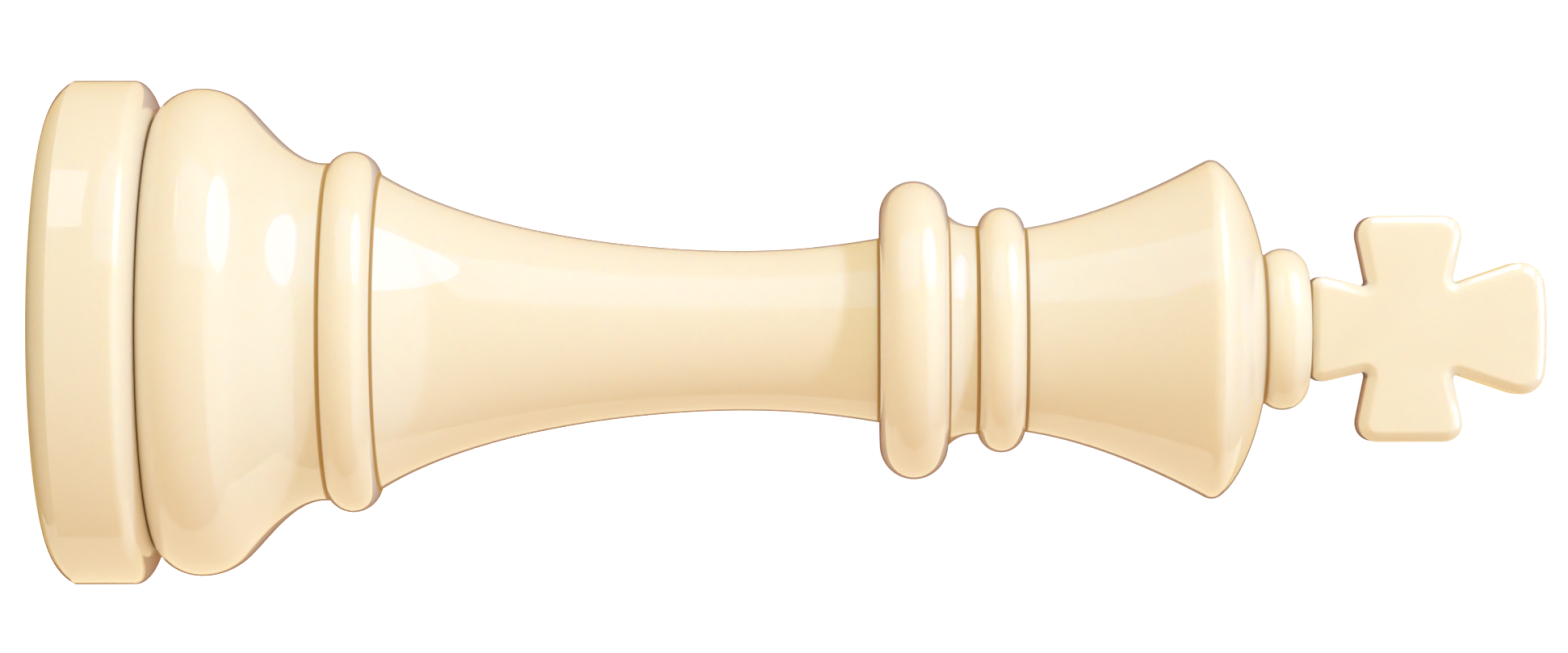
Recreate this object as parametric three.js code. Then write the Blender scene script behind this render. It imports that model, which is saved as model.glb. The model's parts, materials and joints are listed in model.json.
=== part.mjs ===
// A chess king of tournament size, in glossy cream resin: a body turned in one length, and a
// flared cross fixed on its top button. The king stands upright on its flat foot.
// Millimetres, +Z up, with the origin at the centre of the foot. The cross is flat in the XZ
// plane: its side arms lie along X and its broad faces look along -Y and +Y.
import * as THREE from "three";

// Driving dimensions. Heights are above the table, radii are from the king's axis. A slope is
// outward travel for each millimetre up. Holds are the shares of a curve's height for which it
// keeps to its first and its last direction.
const kingHeight = 95;
const buttonTop = 79.95;

// Disc foot: a bulging under-bevel, an upright band, and a shoulder rounded over as part of an
// ellipse.
const base = {
  footRadius: 14,
  radius: 16.07,
  bevelHeight: 1.42,
  bevelSlopes: [3.8, 0.1],
  bevelHolds: [0.6, 0.6],
  bandTop: 5.22,
  shoulderRise: 1.45,
  shoulderReach: 3,
};

// Bell: a round bulge, undercut below as part of an ellipse, and a slope that runs out into a
// cove above it.
const bell = {
  creaseRadius: 13.7,
  radius: 15.56,
  undercutReach: 2.5,
  undercutRise: 2.93,
  bulgeRound: 4.26,
  slopeAngle: 44.6,
  coveHolds: [0.37, 0.41],
  neckRadius: 10.77,
  neckHeight: 17.28,
};

// Half-round beads: the height of their middle, their full radius, and the radius of the round.
const lowerBead = { height: 19.09, radius: 11.52, round: 1.78 };
const collar = { height: 54.81, radius: 9.5, round: 2.17 };
const upperBead = { height: 60.37, radius: 7.8, round: 1.51 };
const button = { height: 78.27, radius: 5.14, round: buttonTop - 78.27 };

// Long waisted stem between the lower bead and the collar.
const stem = {
  footRadius: 10.09,
  footSlope: -0.62,
  lowerHolds: [0.33, 0.245],
  waistRadius: 5.1,
  waistHeight: 43.72,
  upperHolds: [0.39, 0.33],
  topRadius: 5.88,
  topSlope: 0.17,
};

// Small cove between the collar and the upper bead.
const neck = { footRadius: 7.36, coveRound: 2.29, radius: 6.63 };

// Flared head with a rounded rim, closed by a low dome. Angles are from the upright.
const head = {
  footRadius: 6.49,
  footSlope: 0.15,
  flareHolds: [0.35, 0.35],
  rimRadius: 10.79,
  rimRound: 0.89,
  rimHeight: 73.74,
  flareAngle: 28.2,
  domeAngle: 33,
  domeHolds: [0.46, 1.02],
  domeEndRadius: 4.75,
  domeEndHeight: 77.01,
  domeEndAngle: 78.9,
};

// Flared cross, with a slightly arched top. Each arm widens towards its end. Widths and heights
// are those of the sharp corners, before they are rounded.
const cross = {
  thickness: 4.4,
  bevel: 0.75,
  halfSpan: 7.18,
  footHalfWidth: 3.55,
  lowerWaist: { halfWidth: 2.66, height: 83.67 },
  upperWaist: { halfWidth: 2.79, height: 88.93 },
  sideEnd: { low: 82.73, high: 89.9 },
  topHalfWidth: 4.76,
  topArch: 0.4,
  crownRound: 26,
  footCorner: 0.85,
  sideCorner: 1.22,
  topCorner: 1.65,
  innerCorner: 0.28,
};

// How finely round shapes are divided: turns around the axis, the farthest that a flat facet may
// lie inside an arc, the widest angle that one may span, the steps along each freer curve, and the
// rounds of the cross.
const turns = 48;
const arcError = 0.03;
const widestFacet = 25;
const curveSteps = { bevel: 3, cove: 7, lowerStem: 9, upperStem: 4, flare: 7, dome: 6 };
const cornerStep = 24;
const bevelSteps = 2;

const cream = new THREE.Color(0xf8e7c5);
const resin = { color: cream, roughness: 0.16, metalness: 0 };

const radians = (angle) => THREE.MathUtils.degToRad(angle);
const degrees = (angle) => THREE.MathUtils.radToDeg(angle);

// Points along part of an ellipse in the profile plane. Angles are in degrees, from the outward
// direction and upwards; an arc whose end is less than its start runs the other way round.
function ellipseArc(radius, height, reach, rise, from, to) {
  const facet = 2 * degrees(Math.acos(1 - arcError / Math.max(reach, rise)));
  const steps = Math.max(1, Math.ceil(Math.abs(to - from) / Math.min(facet, widestFacet)));
  const curve = new THREE.EllipseCurve(
    radius, height, reach, rise, radians(from), radians(to), to < from,
  );
  return curve.getPoints(steps);
}

const arc = (radius, height, round, from, to) => ellipseArc(radius, height, round, round, from, to);

// Points along a curve that leaves one point at one slope and arrives at another at its own.
function blend(start, startSlope, end, endSlope, holds, steps) {
  const height = end.y - start.y;
  const leave = new THREE.Vector2(startSlope, 1).setLength(height * holds[0]).add(start);
  const arrive = new THREE.Vector2(endSlope, 1).setLength(-height * holds[1]).add(end);
  return new THREE.CubicBezierCurve(start, leave, arrive, end).getPoints(steps);
}

// The slope of a line that leans inwards as it rises, by an angle from the upright.
const inwardSlope = (angle) => -Math.tan(radians(angle));

// A bead's round, from the radius where the part below meets it to the one where the part above
// does. Where a part is slimmer than the round's own middle, the bead has a level flank there.
function beadArc(bead, radiusBelow, radiusAbove) {
  const middle = bead.radius - bead.round;
  const below = -degrees(Math.acos(Math.max(0, (radiusBelow - middle) / bead.round)));
  const above = degrees(Math.acos(Math.max(0, (radiusAbove - middle) / bead.round)));
  return arc(middle, bead.height, bead.round, below, above);
}

// The disc, from the middle of the foot to the crease under the bell.
function baseProfile() {
  const { bevelSlopes, bevelHolds, bandTop, shoulderRise, shoulderReach } = base;
  const foot = new THREE.Vector2(base.footRadius, 0);
  const bandFoot = new THREE.Vector2(base.radius, base.bevelHeight);
  const shoulderMiddle = base.radius - shoulderReach;
  const crease = degrees(Math.acos((bell.creaseRadius - shoulderMiddle) / shoulderReach));
  return [
    new THREE.Vector2(0, 0),
    ...blend(foot, bevelSlopes[0], bandFoot, bevelSlopes[1], bevelHolds, curveSteps.bevel),
    ...ellipseArc(shoulderMiddle, bandTop, shoulderReach, shoulderRise, 0, crease),
  ];
}

// The bell stands on the crease, so its bulge is placed from that height.
function bellProfile(creaseHeight) {
  const { undercutReach, undercutRise, bulgeRound, slopeAngle, coveHolds } = bell;
  const undercutMiddle = bell.radius - undercutReach;
  const start = Math.acos((bell.creaseRadius - undercutMiddle) / undercutReach);
  const bulgeHeight = creaseHeight + undercutRise * Math.sin(start);
  const undercut = ellipseArc(
    undercutMiddle, bulgeHeight, undercutReach, undercutRise, -degrees(start), 0,
  );
  const bulge = arc(bell.radius - bulgeRound, bulgeHeight, bulgeRound, 0, slopeAngle);
  const bulgeEnd = bulge[bulge.length - 1];
  const coveEnd = new THREE.Vector2(bell.neckRadius, bell.neckHeight);
  const slope = inwardSlope(slopeAngle);
  return [
    ...undercut.slice(1),
    ...bulge.slice(1),
    ...blend(bulgeEnd, slope, coveEnd, 0, coveHolds, curveSteps.cove).slice(1),
  ];
}

// The stem falls away fast above the lower bead, is slimmest at its waist and swells a little
// towards the collar.
function stemProfile(foot, top) {
  const waist = new THREE.Vector2(stem.waistRadius, stem.waistHeight);
  const { footSlope, lowerHolds, upperHolds, topSlope } = stem;
  return [
    ...blend(foot, footSlope, waist, 0, lowerHolds, curveSteps.lowerStem).slice(1),
    ...blend(waist, 0, top, topSlope, upperHolds, curveSteps.upperStem).slice(1),
  ];
}

// The cove runs from the top of the collar into the neck below the upper bead.
function neckProfile(creaseHeight) {
  const middle = neck.radius + neck.coveRound;
  const start = degrees(Math.acos((middle - neck.footRadius) / neck.coveRound));
  const coveHeight = creaseHeight + neck.coveRound * Math.sin(radians(start));
  return arc(middle, coveHeight, neck.coveRound, 180 + start, 180).slice(1);
}

// The head flares up to its rim, which turns over into the dome.
function headProfile(foot) {
  const { footSlope, flareHolds, rimRadius, rimRound, flareAngle, domeAngle, domeHolds } = head;
  const rim = arc(rimRadius - rimRound, head.rimHeight, rimRound, -flareAngle, domeAngle);
  const domeStart = rim[rim.length - 1];
  const domeEnd = new THREE.Vector2(head.domeEndRadius, head.domeEndHeight);
  const flareSlope = -inwardSlope(flareAngle);
  const domeSlope = inwardSlope(domeAngle);
  const endSlope = inwardSlope(head.domeEndAngle);
  return [
    ...blend(foot, footSlope, rim[0], flareSlope, flareHolds, curveSteps.flare).slice(1, -1),
    ...rim,
    ...blend(domeStart, domeSlope, domeEnd, endSlope, domeHolds, curveSteps.dome).slice(1),
  ];
}

// The whole outline that is turned, from the middle of the foot to the middle of the button's top.
function turnedProfile() {
  const disc = baseProfile();
  const lowerRound = beadArc(lowerBead, bell.neckRadius, stem.footRadius);
  const collarRound = beadArc(collar, stem.topRadius, neck.footRadius);
  const upperRound = beadArc(upperBead, neck.radius, head.footRadius);
  const stemTop = new THREE.Vector2(stem.topRadius, collar.height - collar.round);
  const buttonMiddle = button.radius - button.round;
  const buttonStart = -degrees(Math.acos((head.domeEndRadius - buttonMiddle) / button.round));
  const top = arc(buttonMiddle, button.height, button.round, buttonStart, 90);
  return [
    ...disc,
    ...bellProfile(disc[disc.length - 1].y),
    ...lowerRound,
    ...stemProfile(lowerRound[lowerRound.length - 1], stemTop),
    ...collarRound,
    ...neckProfile(collarRound[collarRound.length - 1].y),
    ...upperRound,
    ...headProfile(upperRound[upperRound.length - 1]),
    ...top,
    new THREE.Vector2(0, buttonTop),
  ];
}

function turnedBody() {
  const geometry = new THREE.LatheGeometry(turnedProfile(), turns).rotateX(Math.PI / 2);
  const mesh = new THREE.Mesh(geometry, new THREE.MeshStandardMaterial(resin));
  mesh.name = "turned_body";
  return mesh;
}

// An outline whose corners are rounded: each corner is { x, y, round }, in order, counterclockwise.
function roundedShape(corners) {
  const points = [];
  corners.forEach((corner, index) => {
    const before = corners[(index + corners.length - 1) % corners.length];
    const after = corners[(index + 1) % corners.length];
    const back = new THREE.Vector2(before.x - corner.x, before.y - corner.y).normalize();
    const on = new THREE.Vector2(after.x - corner.x, after.y - corner.y).normalize();
    const half = Math.acos(back.dot(on)) / 2;
    const middle = back.clone().add(on).setLength(corner.round / Math.sin(half));
    middle.add(new THREE.Vector2(corner.x, corner.y));
    const outward = back.cross(on) < 0;
    const start = back.clone().multiplyScalar(corner.round / Math.tan(half));
    const startAngle = start.add(new THREE.Vector2(corner.x, corner.y)).sub(middle).angle();
    const turn = (Math.PI - 2 * half) * (outward ? 1 : -1);
    const steps = Math.max(2, Math.ceil(degrees(Math.abs(turn)) / cornerStep));
    const curve = new THREE.EllipseCurve(
      middle.x, middle.y, corner.round, corner.round, startAngle, startAngle + turn, !outward,
    );
    points.push(...curve.getPoints(steps));
  });
  return new THREE.Shape(points);
}

// The cross's corners, up its right side from the foot, over the crown and down its left side.
// The crown's own corner stands a little above the top that its wide round leaves.
function crossCorners() {
  const { lowerWaist, upperWaist, sideEnd, topHalfWidth, topArch, crownRound } = cross;
  const lean = Math.atan(topArch / topHalfWidth);
  const crown = kingHeight + crownRound * (1 / Math.cos(lean) - 1);
  const right = [
    { x: cross.footHalfWidth, y: buttonTop, round: cross.footCorner },
    { x: lowerWaist.halfWidth, y: lowerWaist.height, round: cross.innerCorner },
    { x: cross.halfSpan, y: sideEnd.low, round: cross.sideCorner },
    { x: cross.halfSpan, y: sideEnd.high, round: cross.sideCorner },
    { x: upperWaist.halfWidth, y: upperWaist.height, round: cross.innerCorner },
    { x: topHalfWidth, y: crown - topArch, round: cross.topCorner },
  ];
  const left = right.map(({ x, y, round }) => ({ x: -x, y, round })).reverse();
  return [...right, { x: 0, y: crown, round: crownRound }, ...left];
}

function crossFinial() {
  const geometry = new THREE.ExtrudeGeometry(roundedShape(crossCorners()), {
    depth: cross.thickness - 2 * cross.bevel,
    bevelThickness: cross.bevel,
    bevelSize: cross.bevel,
    bevelOffset: -cross.bevel,
    bevelSegments: bevelSteps,
  });
  geometry.translate(0, 0, cross.bevel - cross.thickness / 2).rotateX(Math.PI / 2);
  const mesh = new THREE.Mesh(geometry, new THREE.MeshStandardMaterial(resin));
  mesh.name = "cross_finial";
  return mesh;
}

const king = new THREE.Group();
king.add(turnedBody(), crossFinial());

export default king;
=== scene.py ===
import json
from math import acos, atan, cos, pi, radians, sin, tan

import bmesh
import bpy
from mathutils import Matrix, Vector
from mathutils.geometry import interpolate_bezier

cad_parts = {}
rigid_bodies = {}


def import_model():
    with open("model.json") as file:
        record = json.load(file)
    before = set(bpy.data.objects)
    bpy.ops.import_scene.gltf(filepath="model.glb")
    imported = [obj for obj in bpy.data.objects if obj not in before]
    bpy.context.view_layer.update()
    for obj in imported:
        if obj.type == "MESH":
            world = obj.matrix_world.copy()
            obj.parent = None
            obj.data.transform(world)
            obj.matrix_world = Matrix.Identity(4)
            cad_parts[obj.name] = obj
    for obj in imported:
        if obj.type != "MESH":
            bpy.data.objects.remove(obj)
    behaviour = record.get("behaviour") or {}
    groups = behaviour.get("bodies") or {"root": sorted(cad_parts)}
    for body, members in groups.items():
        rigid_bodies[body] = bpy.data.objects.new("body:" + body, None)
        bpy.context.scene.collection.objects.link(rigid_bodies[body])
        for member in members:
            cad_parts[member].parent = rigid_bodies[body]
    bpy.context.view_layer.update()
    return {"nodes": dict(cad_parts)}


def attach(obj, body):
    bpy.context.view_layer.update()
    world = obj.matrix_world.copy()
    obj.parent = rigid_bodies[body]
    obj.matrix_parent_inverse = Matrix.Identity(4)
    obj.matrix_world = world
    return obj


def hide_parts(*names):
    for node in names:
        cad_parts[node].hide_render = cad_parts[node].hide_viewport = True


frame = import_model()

mm = 0.001
sameSpot = 1e-4  # mm, points that are closer than this count as one
print("frame loaded:", sorted(frame["nodes"]))

# What a user would change on the turned body, in millimetres and degrees. Heights are above the
# table and radii are from the axis. Slopes are outward travel for each millimetre up, and holds
# are the shares of a curve's height for which it keeps to its first and its last direction.
turnedBody = {
    "turns": 256,          # facets round the axis
    "facet": 4.5,          # degrees for each facet of an arc in the outline
    "creaseAngle": 24,     # faces that meet at more than this keep a crisp line
    "foot": {"footRadius": 14, "radius": 16.07, "bevelHeight": 1.42, "bevelSlopes": (6, 0.52),
             "bevelHolds": (0.75, 0.5), "bandTop": 5.22, "shoulderRise": 1.45, "shoulderReach": 3},
    "bell": {"creaseRadius": 13.7, "radius": 15.56, "undercutReach": 2.5, "undercutRise": 2.93,
             "bulgeRound": 4.26, "slopeAngle": 44.6, "coveHolds": (0.37, 0.41),
             "neckRadius": 10.77, "neckHeight": 17.28},
    "lowerBead": {"height": 19.09, "radius": 11.52, "round": 1.78},
    "stem": {"footRadius": 10.09, "footSlope": -0.62, "lowerHolds": (0.33, 0.245),
             "waistRadius": 5.1, "waistHeight": 43.72, "upperHolds": (0.39, 0.33),
             "topRadius": 5.88, "topSlope": 0.17},
    "collar": {"height": 54.81, "radius": 9.5, "round": 2.17},
    "neck": {"footRadius": 7.36, "coveRound": 2.29, "radius": 6.63},
    "upperBead": {"height": 60.37, "radius": 7.8, "round": 1.51},
    "head": {"footRadius": 6.49, "footSlope": 0.15, "flareHolds": (0.35, 0.35),
             "rimRadius": 10.79, "rimRound": 0.89, "rimHeight": 73.74, "flareAngle": 28.2,
             "domeAngle": 33, "domeHolds": (0.46, 1.02), "domeEndRadius": 4.75,
             "domeEndHeight": 77.01, "domeEndAngle": 78.9},
    "button": {"height": 78.27, "radius": 5.14, "round": 1.68},
    "curveSteps": {"bevel": 12, "cove": 24, "lowerStem": 48, "upperStem": 20, "flare": 28,
                   "dome": 20},
}


class Outline:
    # The line that is turned: pieces of wire in the XZ plane, each drawn on from the last.
    def __init__(self, facet):
        self.wire = bmesh.new()
        self.facet = radians(facet)
        self.last = self.wire.verts.new((0, 0, 0))
        self.creases = []

    def joinTo(self, first, last):
        if (first.co - self.last.co).length > sameSpot:
            self.wire.edges.new((self.last, first))
        self.last = last

    # An arc of an ellipse: one vertex is spun round its middle, then the round is squashed.
    def arc(self, radius, height, reach, rise, start, end):
        middle = Vector((radius, 0, height))
        first = self.wire.verts.new(middle + reach * Vector((cos(start), 0, sin(start))))
        before = len(self.wire.verts) - 1
        steps = max(2, round(abs(end - start) / self.facet))
        spun = bmesh.ops.spin(self.wire, geom=[first], cent=middle, axis=(0, -1, 0),
                              angle=end - start, steps=steps)
        bmesh.ops.scale(self.wire, vec=(1, 1, rise / reach), space=Matrix.Translation(-middle),
                        verts=self.wire.verts[:][before:])
        last = [v for v in spun["geom_last"] if isinstance(v, bmesh.types.BMVert)][0]
        self.joinTo(first, last)

    # A free curve that leaves one point at one slope and arrives at the next at its own.
    def blend(self, start, startSlope, end, endSlope, holds, steps):
        start = Vector((start[0], 0, start[1]))
        end = Vector((end[0], 0, end[1]))
        rise = end.z - start.z
        leave = start + Vector((startSlope, 0, 1)).normalized() * rise * holds[0]
        arrive = end - Vector((endSlope, 0, 1)).normalized() * rise * holds[1]
        line = [self.wire.verts.new(p)
                for p in interpolate_bezier(start, leave, arrive, end, steps + 1)]
        for pair in zip(line, line[1:]):
            self.wire.edges.new(pair)
        self.joinTo(line[0], line[-1])

    # A half-round bead between the part below it and the part above it.
    def bead(self, bead, radiusBelow, radiusAbove):
        middle = bead["radius"] - bead["round"]
        below = -acos(max(0, (radiusBelow - middle) / bead["round"]))
        above = acos(max(0, (radiusAbove - middle) / bead["round"]))
        self.arc(middle, bead["height"], bead["round"], bead["round"], below, above)
        self.crease(radiusBelow, bead["height"] + bead["round"] * sin(below))
        self.crease(radiusAbove, bead["height"] + bead["round"] * sin(above))

    # A corner between two turned parts, where the resin gets a painted brown shade line.
    def crease(self, radius, height):
        self.creases.append(Vector((radius, 0, height)) * mm)


def inward(angle):  # the slope of a line that leans inwards as it rises
    return -tan(radians(angle))


def drawFoot(line, foot, bell, steps):
    line.blend((foot["footRadius"], 0), foot["bevelSlopes"][0],
               (foot["radius"], foot["bevelHeight"]), foot["bevelSlopes"][1],
               foot["bevelHolds"], steps["bevel"])
    middle = foot["radius"] - foot["shoulderReach"]
    crease = acos((bell["creaseRadius"] - middle) / foot["shoulderReach"])
    line.arc(middle, foot["bandTop"], foot["shoulderReach"], foot["shoulderRise"], 0, crease)


def drawBell(line, bell, steps):
    middle = bell["radius"] - bell["undercutReach"]
    start = acos((bell["creaseRadius"] - middle) / bell["undercutReach"])
    height = line.last.co.z + bell["undercutRise"] * sin(start)
    slope = radians(bell["slopeAngle"])
    line.arc(middle, height, bell["undercutReach"], bell["undercutRise"], -start, 0)
    middle = bell["radius"] - bell["bulgeRound"]
    line.arc(middle, height, bell["bulgeRound"], bell["bulgeRound"], 0, slope)
    line.blend((line.last.co.x, line.last.co.z), inward(bell["slopeAngle"]),
               (bell["neckRadius"], bell["neckHeight"]), 0, bell["coveHolds"], steps["cove"])


def drawStem(line, stem, collar, steps):
    waist = (stem["waistRadius"], stem["waistHeight"])
    top = (stem["topRadius"], collar["height"] - collar["round"])
    line.blend((line.last.co.x, line.last.co.z), stem["footSlope"], waist, 0,
               stem["lowerHolds"], steps["lowerStem"])
    line.blend(waist, 0, top, stem["topSlope"], stem["upperHolds"], steps["upperStem"])


def drawNeck(line, neck):
    middle = neck["radius"] + neck["coveRound"]
    start = acos((middle - neck["footRadius"]) / neck["coveRound"])
    height = line.last.co.z + neck["coveRound"] * sin(start)
    line.arc(middle, height, neck["coveRound"], neck["coveRound"], pi + start, pi)


def drawHead(line, head, steps):
    flare, dome = radians(head["flareAngle"]), radians(head["domeAngle"])
    middle = head["rimRadius"] - head["rimRound"]
    rimFoot = (middle + head["rimRound"] * cos(flare),
               head["rimHeight"] - head["rimRound"] * sin(flare))
    line.blend((line.last.co.x, line.last.co.z), head["footSlope"], rimFoot,
               -inward(head["flareAngle"]), head["flareHolds"], steps["flare"])
    line.arc(middle, head["rimHeight"], head["rimRound"], head["rimRound"], -flare, dome)
    line.blend((line.last.co.x, line.last.co.z), inward(head["domeAngle"]),
               (head["domeEndRadius"], head["domeEndHeight"]), inward(head["domeEndAngle"]),
               head["domeHolds"], steps["dome"])


def drawButton(line, button, head):
    middle = button["radius"] - button["round"]
    start = -acos((head["domeEndRadius"] - middle) / button["round"])
    line.arc(middle, button["height"], button["round"], button["round"], start, pi / 2)
    axis = line.wire.verts.new((0, 0, button["height"] + button["round"]))
    line.joinTo(axis, axis)


def linkMesh(mesh, name):
    data = bpy.data.meshes.new(name)
    mesh.to_mesh(data)
    mesh.free()
    thing = bpy.data.objects.new(name, data)
    bpy.context.scene.collection.objects.link(thing)
    return thing


def finishPiece(mesh, name, creaseAngle):
    bmesh.ops.remove_doubles(mesh, verts=mesh.verts, dist=sameSpot)
    bmesh.ops.recalc_face_normals(mesh, faces=mesh.faces)
    bmesh.ops.scale(mesh, vec=(mm, mm, mm), verts=mesh.verts)
    for face in mesh.faces:
        face.smooth = True
    for edge in mesh.edges:
        edge.smooth = edge.calc_face_angle(0) < radians(creaseAngle)
    return linkMesh(mesh, name)


def makeTurnedBody(spec):
    line = Outline(spec["facet"])
    steps = spec["curveSteps"]
    drawFoot(line, spec["foot"], spec["bell"], steps)
    line.crease(line.last.co.x, line.last.co.z)
    drawBell(line, spec["bell"], steps)
    line.bead(spec["lowerBead"], spec["bell"]["neckRadius"], spec["stem"]["footRadius"])
    drawStem(line, spec["stem"], spec["collar"], steps)
    line.bead(spec["collar"], spec["stem"]["topRadius"], spec["neck"]["footRadius"])
    drawNeck(line, spec["neck"])
    line.bead(spec["upperBead"], spec["neck"]["radius"], spec["head"]["footRadius"])
    drawHead(line, spec["head"], steps)
    line.crease(line.last.co.x, line.last.co.z)
    drawButton(line, spec["button"], spec["head"])
    wire = line.wire
    bmesh.ops.remove_doubles(wire, verts=wire.verts, dist=sameSpot)
    bmesh.ops.spin(wire, geom=wire.verts[:] + wire.edges[:], cent=(0, 0, 0), axis=(0, 0, 1),
                   angle=2 * pi, steps=spec["turns"], use_merge=True)
    return finishPiece(wire, "king_turned_body", spec["creaseAngle"]), line.creases


body, bodyCreases = makeTurnedBody(turnedBody)
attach(body, "root")
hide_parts("turned_body")
print("turned body:", len(body.data.polygons), "faces,", len(bodyCreases), "creases")

# What a user would change on the cross, in millimetres and degrees. Pairs are the half width and
# height of a sharp corner, or the heights of two, and the corner sizes are the rounds on them.
crossFinial = {
    "foot": 79.95,
    "top": 95,
    "thickness": 4.4,
    "chamfer": 0.62,       # flat bevel round both faces
    "chamferRound": 0.13,  # round on the bevel's two edges
    "roundSegments": 3,
    "halfSpan": 7.18,
    "footHalfWidth": 3.55,
    "lowerWaist": (2.66, 83.67),
    "upperWaist": (2.79, 88.93),
    "sideEnd": (82.73, 89.9),
    "topHalfWidth": 4.76,
    "topArch": 0.4,
    "crownRound": 26,
    "footCorner": 0.85,
    "sideCorner": 1.22,
    "topCorner": 1.65,
    "innerCorner": 0.28,
    "cornerSegments": 9,
    "creaseAngle": 40,     # faces that meet at more than this keep a crisp line
}


def bevelRims(mesh, rims, width, segments):
    bmesh.ops.bevel(mesh, geom=rims, offset=width, offset_type="OFFSET", segments=segments,
                    profile=0.5, affect="EDGES", material=-1, clamp_overlap=False)


def makeCross(spec):
    lean = atan(spec["topArch"] / spec["topHalfWidth"])
    crown = spec["top"] + spec["crownRound"] * (1 / cos(lean) - 1)
    right = [
        (spec["footHalfWidth"], spec["foot"], spec["footCorner"]),
        (*spec["lowerWaist"], spec["innerCorner"]),
        (spec["halfSpan"], spec["sideEnd"][0], spec["sideCorner"]),
        (spec["halfSpan"], spec["sideEnd"][1], spec["sideCorner"]),
        (*spec["upperWaist"], spec["innerCorner"]),
        (spec["topHalfWidth"], crown - spec["topArch"], spec["topCorner"]),
    ]
    left = [(-x, z, size) for x, z, size in reversed(right)]
    corners = right + [(0, crown, spec["crownRound"])] + left
    mesh = bmesh.new()
    half = spec["thickness"] / 2
    verts = [mesh.verts.new((x, -half, z)) for x, z, size in corners]
    mesh.faces.new(verts)
    for index, vert in enumerate(verts):
        point = Vector(corners[index][:2])
        back = (Vector(corners[index - 1][:2]) - point).normalized()
        on = (Vector(corners[(index + 1) % len(corners)][:2]) - point).normalized()
        reach = corners[index][2] / tan(back.angle(on) / 2)
        bmesh.ops.bevel(mesh, geom=[vert], offset=reach, offset_type="OFFSET",
                        segments=spec["cornerSegments"], profile=0.5, affect="VERTICES",
                        material=-1, clamp_overlap=False)
    pushed = bmesh.ops.extrude_face_region(mesh, geom=mesh.faces[:], use_keep_orig=True)
    moved = [v for v in pushed["geom"] if isinstance(v, bmesh.types.BMVert)]
    bmesh.ops.translate(mesh, vec=(0, spec["thickness"], 0), verts=moved)
    bmesh.ops.recalc_face_normals(mesh, faces=mesh.faces)

    # the flat bevel round both faces, then the rounds where it meets the faces and the sides
    rims = [e for e in mesh.edges if abs(e.verts[0].co.y - e.verts[1].co.y) < sameSpot]
    bevelRims(mesh, rims, spec["chamfer"], 1)
    rims = [e for e in mesh.edges
            if any(all(abs(abs(v.co.y) - depth) < sameSpot for v in e.verts)
                   for depth in (half, half - spec["chamfer"]))]
    bevelRims(mesh, rims, spec["chamferRound"], spec["roundSegments"])
    return finishPiece(mesh, "king_cross_finial", spec["creaseAngle"])


cross = makeCross(crossFinial)
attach(cross, "root")
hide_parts("cross_finial")
print("cross:", len(cross.data.polygons), "faces")

# What a user would change on the cream resin.
creamResin = {
    "cream": (0.95, 0.83, 0.63),
    "pale": (0.955, 0.842, 0.655),
    "warm": (0.945, 0.812, 0.6),
    "clouds": {"Scale": 55, "Detail": 3},
    "streaks": {"Scale": 900, "Detail": 4},
    "streakStretch": 0.06,    # the smaller, the longer the streaks are along the axis
    "streakShare": (0.35, 0.65),
    "polish": {"Scale": 260, "Detail": 2},
    "noiseRange": (0.3, 0.7), # the part of each noise that is stretched over its whole effect
    "paintedCreaseShade": (0.56, 0.33, 0.1), # painted shade: a brown line in the creases, standing in for the shade that falls there
    "shadeLineWidth": 0.12,       # mm to each side of a crease
    "shadeLineFade": 0.12,        # mm over which it dies away
    "roughness": (0.3, 0.42), # under the gloss, where it is most and least polished
    "ior": 1.49,
    "gloss": 1,
    "creaseGloss": 0.15,      # the gloss is dulled along the painted crease shade
    "glossRoughness": 0.012,
    "glossIor": 1.8,
    "glow": 0.5,              # how much light travels under the surface
    "glowColour": (1, 0.55, 0.28),
    "glowDepth": 1.6,         # mm
    "crossGlowDepth": 0.45,   # mm, less in the thin cross, so that its bevels stay crisp
    "ripple": 0.04,           # strength of the polishing ripple
    "rippleHeight": 0.1,      # mm
}


def addNode(tree, kind, **inputs):
    node = tree.nodes.new(kind)
    for name, value in inputs.items():
        setattr(node, name, value)
    return node


def addNoise(tree, place, values):
    noise = addNode(tree, "ShaderNodeTexNoise")
    for name, value in values.items():
        noise.inputs[name].default_value = value
    tree.links.new(place, noise.inputs["Vector"])
    return noise.outputs["Fac"]


def addRange(tree, value, before, after=(0, 1), kind="LINEAR"):
    spread = addNode(tree, "ShaderNodeMapRange", interpolation_type=kind)
    for name, number in zip(("From Min", "From Max", "To Min", "To Max"), (*before, *after)):
        spread.inputs[name].default_value = number
    tree.links.new(value, spread.inputs["Value"])
    return spread.outputs["Result"]


# The second colour laid over the first, a colour or a socket, by the factor.
def addMix(tree, factor, first, second):
    mix = addNode(tree, "ShaderNodeMix", data_type="RGBA")
    if isinstance(first, tuple):
        mix.inputs["A"].default_value = (*first, 1)
    else:
        tree.links.new(first, mix.inputs["A"])
    mix.inputs["B"].default_value = (*second, 1)
    tree.links.new(factor, mix.inputs["Factor"])
    return mix.outputs["Result"]


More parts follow.
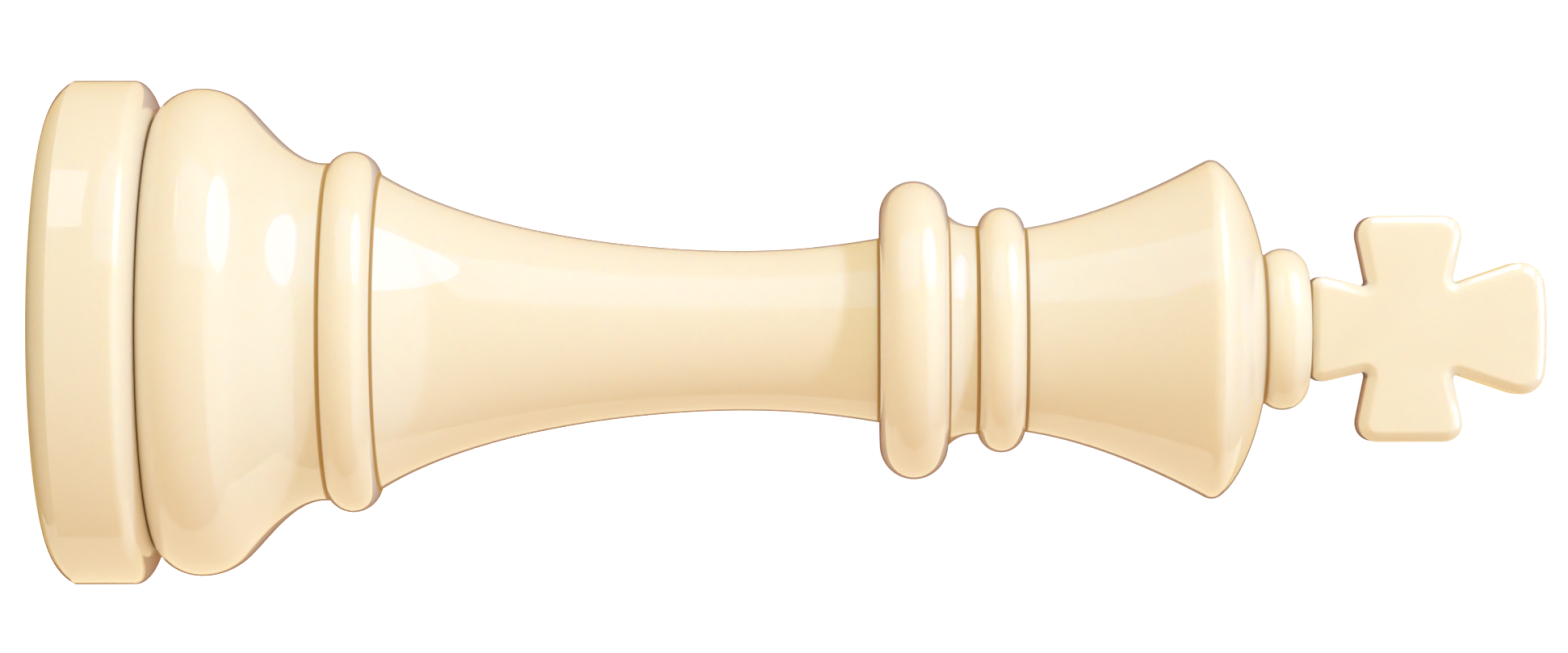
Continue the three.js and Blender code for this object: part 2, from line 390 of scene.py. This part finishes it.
# The distance to the nearest crease, in the plane of radius and height on a turned piece, and of
# height alone on the cross.
def addCreaseDistance(tree, place, creases, turned):
    link = tree.links.new
    split = addNode(tree, "ShaderNodeSeparateXYZ")
    link(place, split.inputs["Vector"])
    outline = addNode(tree, "ShaderNodeCombineXYZ")
    link(split.outputs["Z"], outline.inputs["Z"])
    if turned:
        level = addNode(tree, "ShaderNodeVectorMath", operation="MULTIPLY")
        level.inputs[1].default_value = (1, 1, 0)
        link(place, level.inputs[0])
        radius = addNode(tree, "ShaderNodeVectorMath", operation="LENGTH")
        link(level.outputs["Vector"], radius.inputs[0])
        link(radius.outputs["Value"], outline.inputs["X"])
    nearest = None
    for crease in creases:
        away = addNode(tree, "ShaderNodeVectorMath", operation="DISTANCE")
        away.inputs[1].default_value = crease
        link(outline.outputs["Vector"], away.inputs[0])
        if nearest is None:
            nearest = away.outputs["Value"]
        else:
            least = addNode(tree, "ShaderNodeMath", operation="MINIMUM")
            link(nearest, least.inputs[0])
            link(away.outputs["Value"], least.inputs[1])
            nearest = least.outputs["Value"]
    return nearest


def clearTree(owner):
    owner.use_nodes = True
    owner.node_tree.nodes.clear()
    return owner.node_tree


def makeResin(spec, name, creases, turned, glowDepth):
    material = bpy.data.materials.new(name)
    tree = clearTree(material)
    link = tree.links.new
    out = addNode(tree, "ShaderNodeOutputMaterial")
    shader = addNode(tree, "ShaderNodeBsdfPrincipled")
    link(shader.outputs["BSDF"], out.inputs["Surface"])
    place = addNode(tree, "ShaderNodeTexCoord").outputs["Object"]

    # broad clouds of paler and warmer resin, as it was poured
    clouds = addNoise(tree, place, spec["clouds"])
    cloudy = addMix(tree, addRange(tree, clouds, spec["noiseRange"]), spec["warm"], spec["pale"])

    # fine streaks along the axis
    stretch = addNode(tree, "ShaderNodeMapping")
    stretch.inputs["Scale"].default_value = (1, 1, spec["streakStretch"])
    link(place, stretch.inputs["Vector"])
    streaks = addNoise(tree, stretch.outputs["Vector"], spec["streaks"])
    share = addRange(tree, streaks, spec["noiseRange"], spec["streakShare"])
    grain = addMix(tree, share, cloudy, spec["cream"])

    # painted shade: a brown line in each crease stands in for the shade there, and the gloss is
    # dulled along it too
    nearest = addCreaseDistance(tree, place, creases, turned)
    edge = (spec["shadeLineWidth"] * mm, (spec["shadeLineWidth"] + spec["shadeLineFade"]) * mm)
    line = addRange(tree, nearest, edge, (1, 0), "SMOOTHSTEP")
    link(addMix(tree, line, grain, spec["paintedCreaseShade"]), shader.inputs["Base Color"])
    shine = addRange(tree, line, (0, 1), (spec["gloss"], spec["creaseGloss"]))
    link(shine, shader.inputs["Coat Weight"])

    # the polish is a little uneven
    polish = addNoise(tree, place, spec["polish"])
    link(addRange(tree, polish, spec["noiseRange"], spec["roughness"]), shader.inputs["Roughness"])
    ripple = addNode(tree, "ShaderNodeBump")
    ripple.inputs["Strength"].default_value = spec["ripple"]
    ripple.inputs["Distance"].default_value = spec["rippleHeight"] * mm
    link(streaks, ripple.inputs["Height"])
    link(ripple.outputs["Normal"], shader.inputs["Normal"])

    shader.inputs["IOR"].default_value = spec["ior"]
    shader.inputs["Specular IOR Level"].default_value = 0   # the clear gloss does all the mirroring
    shader.inputs["Coat Roughness"].default_value = spec["glossRoughness"]
    shader.inputs["Coat IOR"].default_value = spec["glossIor"]
    shader.inputs["Subsurface Weight"].default_value = spec["glow"]
    shader.inputs["Subsurface Radius"].default_value = spec["glowColour"]
    shader.inputs["Subsurface Scale"].default_value = glowDepth * mm
    return material


# the cross gets its painted crease shade where its foot meets the button
crossFoot = Vector((0, 0, crossFinial["foot"])) * mm
body.data.materials.append(makeResin(creamResin, "cream_resin_turned", bodyCreases, True,
                                     creamResin["glowDepth"]))
cross.data.materials.append(makeResin(creamResin, "cream_resin_cross", [crossFoot], False,
                                      creamResin["crossGlowDepth"]))
print("resin made")

# What a user would change in the studio, in metres and degrees. A way is an angle round the king
# from the camera, to the camera's left, and an angle above the table.
studio = {
    "aim": (0, 0, 0.045),
    "lamps": {
        "key": {"way": (38, 40), "distance": 0.6, "size": (0.06, 0.06), "power": 1.9063,
                "colour": (0.353, 0.561, 1), "shows": "diffuse"},
        "lowKey": {"way": (35, -3), "distance": 0.5, "size": (0.3, 0.3), "power": 0.8977,
                   "colour": (0.653, 1, 0.817), "shows": "diffuse"},
        "softbox": {"way": (70.5, 42), "distance": 0.21, "size": (0.18, 0.155), "power": 0.15,
                    "colour": (0.15, 0.36, 1), "shows": "glossy", "shape": "ELLIPSE"},
        "stemCard": {"way": (55, -6.5), "distance": 0.0755, "size": (0.07, 0.0725),
                     "power": 0.015, "colour": (0.12, 0.45, 1), "shows": "glossy"},
        "footCard": {"way": (57.2, -33.6), "distance": 0.09, "size": (0.0367, 0.0071),
                     "power": 0.0012, "colour": (0.35, 0.6, 1), "shows": "glossy"},
        "overhead": {"way": (0, 80), "distance": 0.5, "size": (0.2, 0.2), "power": 0.2173,
                     "colour": (0.224, 0.779, 1), "shows": "diffuse"},
        "bounceCard": {"way": (-132, 0), "distance": 0.25, "size": (0.266, 0.5),
                       "power": 0.2195, "colour": (0.723, 0.93, 1), "shows": "glossy"},
        "crossCard": {"way": (90, 44.3), "distance": 0.0559, "size": (0.008, 0.0335),
                      "power": 0.003, "colour": (0.14, 0.5, 1), "shows": "glossy",
                      "onlyOn": cross},
        "crownCard": {"way": (180, 88.65), "distance": 0.085, "size": (0.04, 0.008),
                      "power": 0.003, "colour": (0.14, 0.5, 1), "shows": "glossy",
                      "onlyOn": cross},
        "backFill": {"way": (-70, 10), "distance": 0.6, "size": (0.3, 0.3), "power": 0.15,
                     "colour": (1, 0.85, 0.15), "shows": "diffuse"},
        "backKey": {"way": (180, 15), "distance": 0.6, "size": (0.2, 0.2), "power": 1.1,
                    "colour": (0.75, 0.85, 1), "shows": "diffuse"},
    },
    "backdrop": 1.05,      # brightness of the white that the camera sees
    "fill": {"colour": (1, 0.78, 0.621), "strength": 0.784},
    # What the gloss mirrors: walls all round, and a paler ceiling. The ceiling ends between these
    # angles from its middle, and dims from front to back, by how far the way points from the camera.
    "walls": {"colour": (1, 0.699, 0.231), "strength": 0.858},
    "ceiling": {"colour": (0.96, 1, 1), "strength": 1.15, "way": (180, 82), "edge": (57, 60),
                "front": -0.3, "back": 0.45},
    # a dark board behind the king, which only the gloss sees, draws its thin brown rims
    "board": {"colour": (0.2, 0.03, 0), "place": (0, 0.06, 0.035), "size": (0.062, 0.11)},
    "floor": {"colour": (0.8, 0.7, 0.58), "glow": 1, "size": 30},
}


def lampWay(way):
    left, up = radians(way[0]), radians(way[1])
    return Vector((-sin(left) * cos(up), -cos(left) * cos(up), sin(up)))


def makeLamp(name, spec, aim):
    data = bpy.data.lights.new(name, "AREA")
    data.shape = spec.get("shape", "RECTANGLE")
    data.size, data.size_y = spec["size"]
    data.energy = spec["power"]
    data.color = spec["colour"]
    lamp = bpy.data.objects.new(name, data)
    bpy.context.scene.collection.objects.link(lamp)
    way = lampWay(spec["way"])
    lamp.location = Vector(aim) + way * spec["distance"]
    lamp.rotation_euler = way.to_track_quat("Z", "Y").to_euler()
    lamp.visible_camera = False
    lamp.visible_diffuse = spec["shows"] == "diffuse"
    lamp.visible_glossy = spec["shows"] == "glossy"
    if "onlyOn" in spec:
        lit = bpy.data.collections.new(name)
        lit.objects.link(spec["onlyOn"])
        lamp.light_linking.receiver_collection = lit


def makeSheet(name, side):
    mesh = bmesh.new()
    bmesh.ops.create_grid(mesh, x_segments=1, y_segments=1, size=side / 2)
    return linkMesh(mesh, name)


# Paper that is white to the camera, by its own glow, and a plain pale floor to the light.
def makeFloor(spec):
    floor = makeSheet("floor", spec["size"])
    material = bpy.data.materials.new("paper")
    tree = clearTree(material)
    out = addNode(tree, "ShaderNodeOutputMaterial")
    paper = addNode(tree, "ShaderNodeBsdfDiffuse")
    paper.inputs["Color"].default_value = (*spec["colour"], 1)
    glow = addNode(tree, "ShaderNodeEmission")
    both = addNode(tree, "ShaderNodeAddShader")
    path = addNode(tree, "ShaderNodeLightPath")
    seen = addNode(tree, "ShaderNodeMath", operation="MULTIPLY")
    seen.inputs[1].default_value = spec["glow"]
    tree.links.new(path.outputs["Is Camera Ray"], seen.inputs[0])
    tree.links.new(seen.outputs[0], glow.inputs["Strength"])
    tree.links.new(paper.outputs[0], both.inputs[0])
    tree.links.new(glow.outputs[0], both.inputs[1])
    tree.links.new(both.outputs[0], out.inputs["Surface"])
    floor.data.materials.append(material)
    floor.visible_glossy = False


def makeBoard(spec):
    board = makeSheet("board", 1)
    board.location = spec["place"]
    board.rotation_euler = (radians(90), 0, 0)
    board.scale = (*spec["size"], 1)
    material = bpy.data.materials.new("dark_board")
    tree = clearTree(material)
    out = addNode(tree, "ShaderNodeOutputMaterial")
    dark = addNode(tree, "ShaderNodeEmission")
    dark.inputs["Color"].default_value = (*spec["colour"], 1)
    tree.links.new(dark.outputs[0], out.inputs["Surface"])
    board.data.materials.append(material)
    board.visible_camera = False
    board.visible_diffuse = False
    board.visible_shadow = False


def addBackground(tree, colour, strength):
    background = addNode(tree, "ShaderNodeBackground")
    background.inputs["Color"].default_value = (*colour, 1)
    background.inputs["Strength"].default_value = strength
    return background.outputs[0]


def addShaderMix(tree, factor, first, second):
    mix = addNode(tree, "ShaderNodeMixShader")
    for socket, value in zip(mix.inputs, (factor, first, second)):
        tree.links.new(value, socket)
    return mix.outputs[0]


def makeWorld(spec):
    world = bpy.data.worlds.new("studio")
    bpy.context.scene.world = world
    tree = clearTree(world)
    out = addNode(tree, "ShaderNodeOutputWorld")
    path = addNode(tree, "ShaderNodeLightPath")
    sky = addNode(tree, "ShaderNodeTexCoord").outputs["Generated"]
    white = addBackground(tree, (1, 1, 1), spec["backdrop"])
    fill = addBackground(tree, spec["fill"]["colour"], spec["fill"]["strength"])
    walls = addBackground(tree, spec["walls"]["colour"], spec["walls"]["strength"])
    ceiling = addBackground(tree, spec["ceiling"]["colour"], spec["ceiling"]["strength"])

    # the ceiling is a round patch of the sky, by the angle from its middle
    off = addNode(tree, "ShaderNodeVectorMath", operation="DOT_PRODUCT")
    off.inputs[1].default_value = lampWay(spec["ceiling"]["way"])
    tree.links.new(sky, off.inputs[0])
    inner, outer = [cos(radians(angle)) for angle in spec["ceiling"]["edge"]]
    patch = addRange(tree, off.outputs["Value"], (outer, inner), kind="SMOOTHSTEP")
    depth = addNode(tree, "ShaderNodeSeparateXYZ")
    tree.links.new(sky, depth.inputs["Vector"])
    front = addRange(tree, depth.outputs["Y"], (spec["ceiling"]["back"], spec["ceiling"]["front"]),
                     kind="SMOOTHSTEP")
    amount = addNode(tree, "ShaderNodeMath", operation="MULTIPLY")
    tree.links.new(patch, amount.inputs[0])
    tree.links.new(front, amount.inputs[1])

    mirrored = addShaderMix(tree, amount.outputs[0], walls, ceiling)
    room = addShaderMix(tree, path.outputs["Is Glossy Ray"], fill, mirrored)
    seen = addShaderMix(tree, path.outputs["Is Camera Ray"], room, white)
    tree.links.new(seen, out.inputs["Surface"])


for lampName, lampSpec in studio["lamps"].items():
    makeLamp(lampName, lampSpec, studio["aim"])
makeFloor(studio["floor"])
makeBoard(studio["board"])
makeWorld(studio)
print("studio lit")

# What a user would change in the view: millimetres and degrees.
view = {
    "eye": (-0.26, -376, 49.6),
    "tilt": -0.465,        # looks a little down
    "roll": -89.84,        # lies on its side
    "focalLength": 135.33,
    "sensorWidth": 36,
    "reach": (10, 100000), # nearest and farthest that it sees
}


def makeCamera(spec):
    data = bpy.data.cameras.new("camera")
    data.lens = spec["focalLength"]
    data.sensor_width = spec["sensorWidth"]
    data.clip_start, data.clip_end = [distance * mm for distance in spec["reach"]]
    camera = bpy.data.objects.new("camera", data)
    bpy.context.scene.collection.objects.link(camera)
    turned = (Matrix.Rotation(radians(spec["tilt"]), 4, "X")
              @ Matrix.Rotation(radians(spec["roll"]), 4, "Y")
              @ Matrix.Rotation(radians(90), 4, "X"))
    camera.matrix_world = Matrix.Translation(Vector(spec["eye"]) * mm) @ turned
    bpy.context.scene.camera = camera
    bpy.context.scene.view_settings.view_transform = "Standard"


makeCamera(view)
print("camera set")
